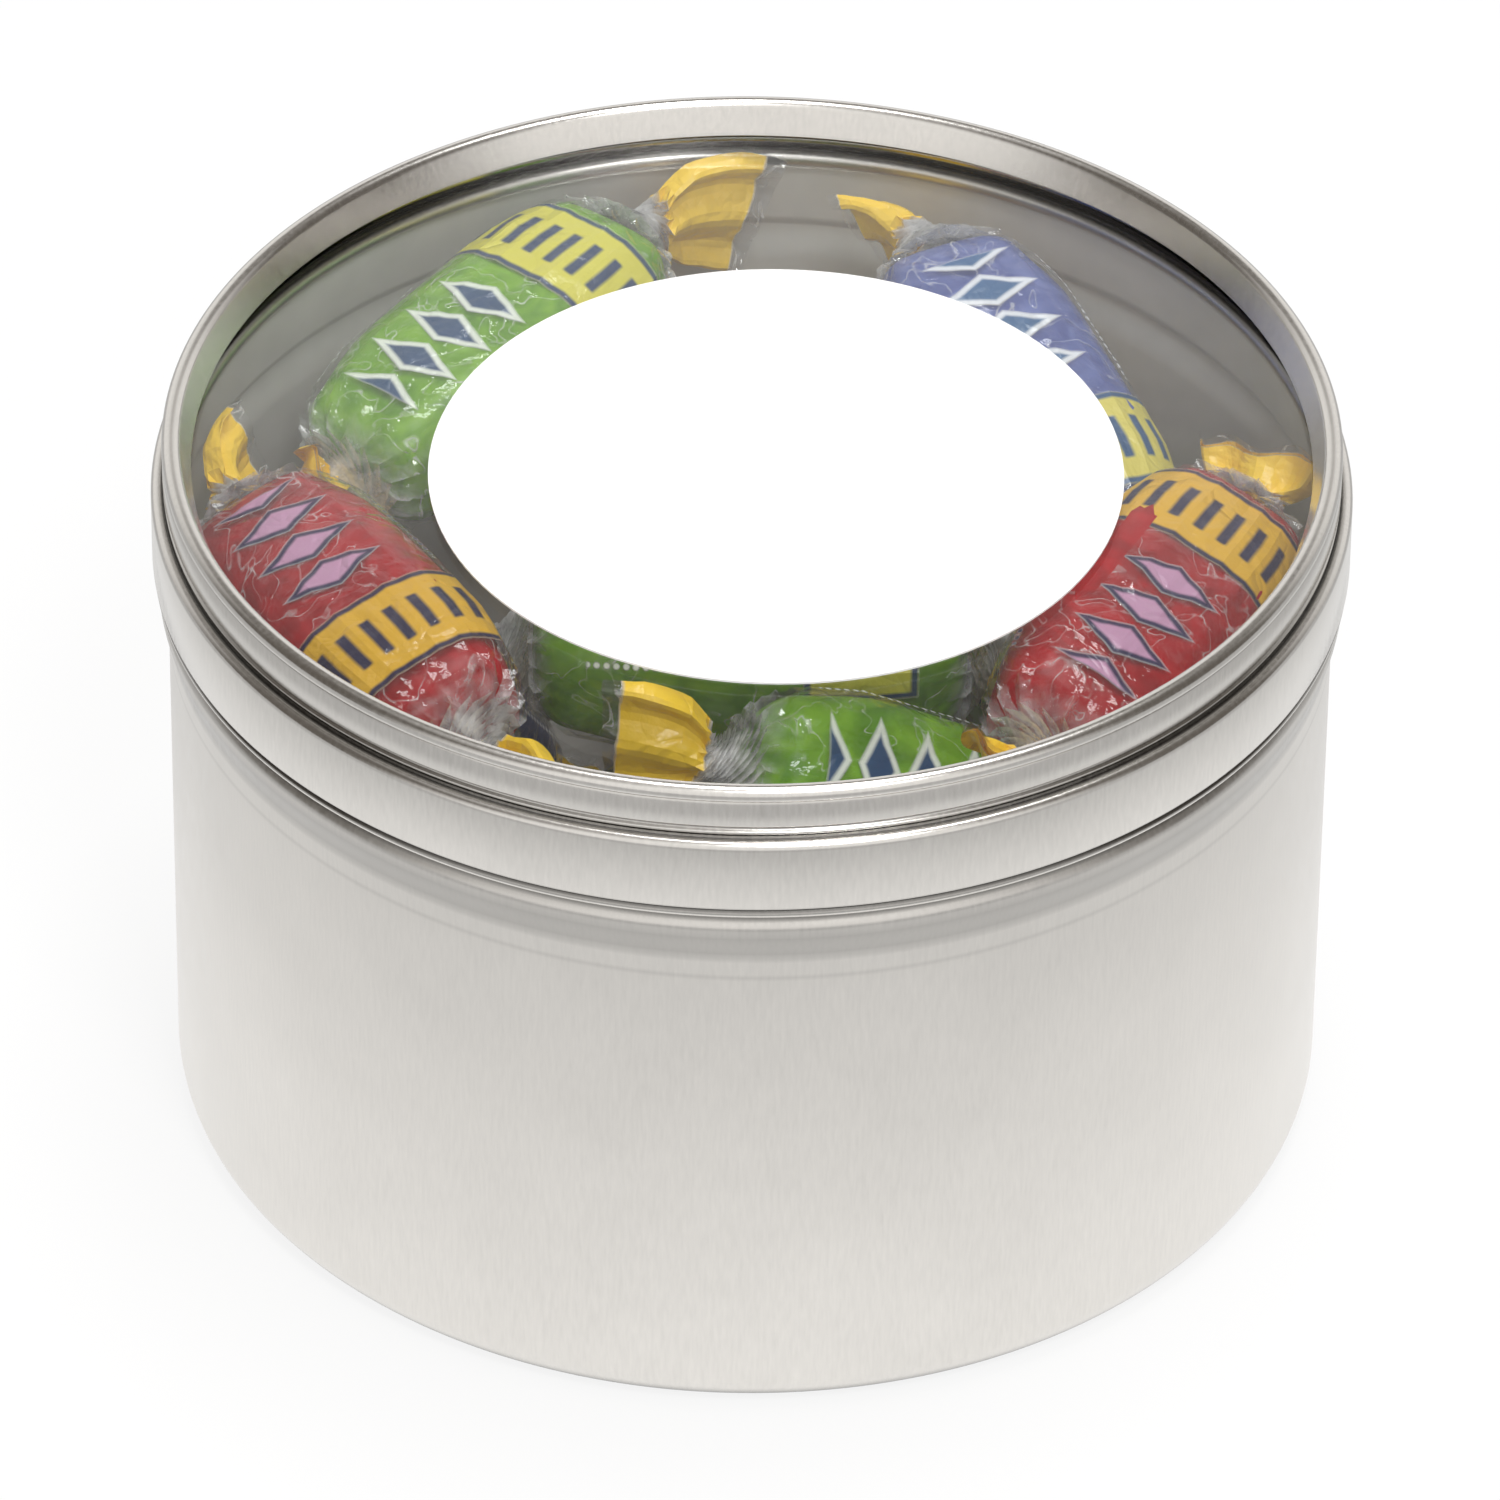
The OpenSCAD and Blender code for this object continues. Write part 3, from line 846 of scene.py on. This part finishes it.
def shape_tail(piece, ring_s, end, bend, towards, twist, reach):
    """Shortens, twists and bends the tail at one end. Its side is an angle round the sweet."""
    beyond = ring_s * end
    pick(piece, beyond > NECK)
    bpy.ops.transform.resize(value=(reach, 1, 1), center_override=(end * NECK * mm, 0, 0))
    rings = sorted(set(beyond[beyond > 12.5].tolist()))
    through_neck = [s for s in rings if s < 15.6]
    for s in through_neck:
        pick(piece, beyond > s - 0.01)
        turn((twist + 180) / len(through_neck), "X", (0, 0, 0))
    pick(piece, beyond > -99)
    turn(-towards, "X", (0, 0, 0))
    past = [s for s in rings if s > NECK]
    for s, following in zip(past, past[1:] + [past[-1] + 0.6]):
        centre = places(piece.data)[abs(beyond - s) < 0.01].mean(axis=0)
        pick(piece, beyond > s - 0.01)
        turn(end * bend * (following - s) / (past[-1] - NECK), "Z", centre)
        bpy.ops.object.mode_set(mode="OBJECT")
    pick(piece, beyond > -99)
    turn(towards, "X", (0, 0, 0))
    bpy.ops.object.mode_set(mode="OBJECT")


def copy_of(pattern, name):
    """A copy with its own mesh, active and alone in the selection."""
    only()
    piece = pattern.copy()
    piece.data = pattern.data.copy()
    piece.name = name
    bpy.context.scene.collection.objects.link(piece)
    piece.select_set(True)
    bpy.context.view_layer.objects.active = piece
    return piece


def lay(piece, centre, turns):
    """Puts a piece made at the origin in its place, and keeps the place in its mesh."""
    piece.location = Vector(centre) * mm
    piece.rotation_euler = [math.radians(a) for a in turns]
    bpy.ops.object.transform_apply(location=True, rotation=True)


# %% Crinkles
crinkle = bpy.data.textures.new("crinkle", "CLOUDS")
crinkle.noise_scale = 1.5 * mm
crinkle.noise_depth = 2


def crumple(piece, ring_s):
    """Fine creases over the whole film, deepest at the necks."""
    group = piece.vertex_groups.new(name="creases")
    for s in sorted(set(ring_s.tolist())):
        depth = np.interp(abs(s), (0, 9, 12.5, 15.5, 18, 23.4), (0.35, 0.4, 1, 0.9, 0.6, 0.7))
        group.add(np.where(ring_s == s)[0].tolist(), float(depth), "REPLACE")
    creases = piece.modifiers.new("creases", "DISPLACE")
    creases.texture = crinkle
    creases.texture_coords = "LOCAL"
    creases.strength = 0.45 * mm
    creases.mid_level = 0.5
    creases.vertex_group = "creases"
    bpy.ops.object.modifier_apply(modifier="creases")


# %% Inside the tin
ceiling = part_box("window")[0].z - 0.35 * mm
reach_of_film = wall_r - sheet - 0.15 * mm


def press_inside(piece):
    """The window presses film that stands too high down, and the wall presses it in."""
    rows = places(piece.data)
    too_high = rows[:, 2] > ceiling
    too_far = np.hypot(rows[:, 0], rows[:, 1]) > reach_of_film
    for outside, share, centre in ((too_high, (1, 1, 0.2), ceiling), (too_far, (0.99, 0.99, 1), 0)):
        if outside.any():
            pick(piece, outside)
            bpy.ops.transform.resize(value=share, center_override=(0, 0, centre))
            bpy.ops.object.mode_set(mode="OBJECT")


# %% Laying every sweet
for i, (colour, centre, turns, tails) in enumerate(SWEETS):
    bar_here = copy_of(bar, f"hard_sweet_{i + 1}")
    lay(bar_here, centre, turns)
    bar_here.data.materials.append(SUGAR[colour])
    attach(bar_here, "tin")
    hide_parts(f"sweet_{i + 1}")

    film = copy_of(sleeve, f"twisted_film_{i + 1}")
    ring = np.empty(len(film.data.vertices), np.int32)
    film.data.attributes["ring"].data.foreach_get("value", ring)
    ring_s = np.array(distances)[ring]
    for end, tail in zip((-1, 1), tails):
        shape_tail(film, ring_s, end, *tail)
    lay(film, centre, turns)
    crumple(film, ring_s)
    press_inside(film)
    film.data.materials.append(FILM[colour])
    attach(film, "tin")
    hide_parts(f"sweet_wrapper_{i + 1}")
for pattern in (bar, sleeve):
    bpy.data.objects.remove(pattern)
print("sweets laid:", len(SWEETS))

# %% [markdown]
# ## The window and the label
#
# The window is a flat sheet of clear PET, cut from a roll. Light goes through it, and each face
# mirrors a few percent, more at a slant. Glass shaders bend light and darken what lies under
# them, and a sheet this thin does neither, so the material mixes a clear shader with a glossy
# one by Schlick's rule: five percent face on, and more at a slant. The label is a round of smooth white paper.

# %% Clear window
clear_sheet, tree, out = new_material("clear_pet_sheet_extruded")
place = add(tree, "TexCoord").outputs["Object"]
ripple = add(tree, "TexNoise", Vector=place, Scale=1 / (14 * mm), Detail=2)
scuff = add(tree, "TexNoise", Vector=place, Scale=1 / (2 * mm), Detail=5, Roughness=0.7)
bump = add(tree, "Bump", Height=ripple.outputs["Fac"], Distance=0.02 * mm, Strength=0.3)
facing = add(tree, "LayerWeight", Blend=0.5, Normal=bump.outputs[0]).outputs["Facing"]
slant = add(tree, "Math", {"operation": "POWER"}, i0=facing, i1=5.0)
law = add(tree, "Math", {"operation": "MULTIPLY_ADD"}, i0=slant.outputs[0], i1=0.95, i2=0.05)
rough = add(tree, "MapRange", Value=scuff.outputs["Fac"], From_Min=0.35, From_Max=0.75, To_Min=0.04, To_Max=0.1)
mirror = add(tree, "BsdfGlossy", Color=(1, 1, 1, 1), Roughness=rough.outputs[0], Normal=bump.outputs[0])
through = add(tree, "BsdfTransparent", Color=(0.985, 0.99, 0.99, 1))
mix = add(tree, "MixShader", i0=law.outputs[0], i1=through.outputs[0], i2=mirror.outputs[0])
tree.links.new(mix.outputs[0], out.inputs["Surface"])
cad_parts["window"].material_slots[0].material = clear_sheet
print("window material:", clear_sheet.name)

# %% Label paper
paper, tree, out = new_material("smooth_label_paper_coated")
place = add(tree, "TexCoord").outputs["Object"]
fibre = add(tree, "TexNoise", Vector=place, Scale=1 / (0.3 * mm), Detail=4)
tone = add(tree, "MapRange", Value=fibre.outputs["Fac"], To_Min=0.985, To_Max=1.0)
base = add(tree, "VectorMath", {"operation": "SCALE"}, i0=linear("fdfdfd")[:3], Scale=tone.outputs[0])
bump = add(tree, "Bump", Height=fibre.outputs["Fac"], Distance=0.004 * mm, Strength=0.3)
sheet_paper = add(tree, "BsdfPrincipled", Base_Color=base.outputs[0], Roughness=0.55, Normal=bump.outputs[0])
path = add(tree, "LightPath")
onward = add(
    tree, "Math", {"operation": "MAXIMUM"}, i0=path.outputs["Is Shadow Ray"], i1=path.outputs["Is Diffuse Ray"],
)
share = add(tree, "Math", {"operation": "MULTIPLY"}, i0=onward.outputs[0], i1=0.75)
through = add(tree, "BsdfTransparent", Color=(1, 1, 1, 1))
mix = add(tree, "MixShader", i0=share.outputs[0], i1=sheet_paper.outputs[0], i2=through.outputs[0])
tree.links.new(mix.outputs[0], out.inputs["Surface"])
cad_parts["label"].material_slots[0].material = paper
print("label material:", paper.name)
